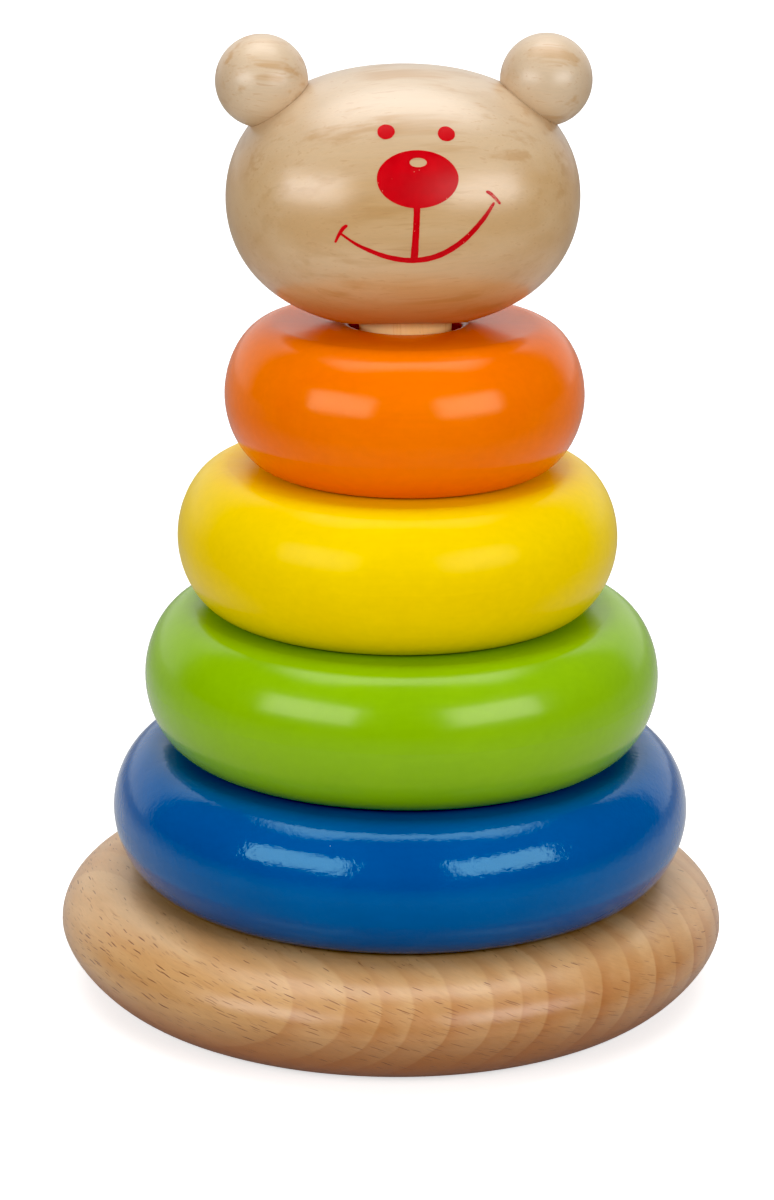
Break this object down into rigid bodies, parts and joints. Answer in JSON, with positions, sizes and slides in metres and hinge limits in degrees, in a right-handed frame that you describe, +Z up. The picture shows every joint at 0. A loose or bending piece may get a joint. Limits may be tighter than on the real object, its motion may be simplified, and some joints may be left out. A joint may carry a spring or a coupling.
{
  "type": "stacking ring toy",
  "caption": "Wooden stacking tower: rounded base with a dowel post, lacquered rings that lift off the post, and a bear's head cap with ball ears.",
  "frame": {"origin": "centre of the base's flat underside", "axes": "+Z up along the post, +X to the bear's left as seen from its front, the face looks along -Y"},
  "size_m": [0.133, 0.133, 0.1897],
  "materials": {
    "beech_oiled": "satin clear coat",
    "pale_wood": "bare sanded",
    "pale_wood_lacquered": "clear satin lacquer",
    "face_ink": "printed red ink under clear lacquer",
    "lacquer_blue": "high gloss opaque lacquer",
    "lacquer_green": "high gloss opaque lacquer",
    "lacquer_yellow": "high gloss opaque lacquer",
    "lacquer_orange": "high gloss opaque lacquer"
  },
  "bodies": {
    "base": {"base_disc": "beech_oiled", "post": "pale_wood"},
    "ring_blue": {"ring_blue": "lacquer_blue"},
    "ring_green": {"ring_green": "lacquer_green"},
    "ring_yellow": {"ring_yellow": "lacquer_yellow"},
    "ring_orange": {"ring_orange": "lacquer_orange"},
    "head": {"head": "pale_wood_lacquered", "ear_left": "pale_wood_lacquered", "ear_right": "pale_wood_lacquered", "ear_peg_left": "pale_wood", "ear_peg_right": "pale_wood"}
  },
  "joints": [
    {"name": "ring_blue_lift", "type": "slide", "parent": "base", "child": "ring_blue", "axis": [0, 0, 1], "range_m": [0, 0.142]},
    {"name": "ring_green_lift", "type": "slide", "parent": "ring_blue", "child": "ring_green", "axis": [0, 0, 1], "range_m": [0, 0.116]},
    {"name": "ring_yellow_lift", "type": "slide", "parent": "ring_green", "child": "ring_yellow", "axis": [0, 0, 1], "range_m": [0, 0.087]},
    {"name": "ring_orange_lift", "type": "slide", "parent": "ring_yellow", "child": "ring_orange", "axis": [0, 0, 1], "range_m": [0, 0.059]},
    {"name": "head_lift", "type": "slide", "parent": "ring_orange", "child": "head", "axis": [0, 0, 1], "range_m": [0, 0.03]}
  ]
}
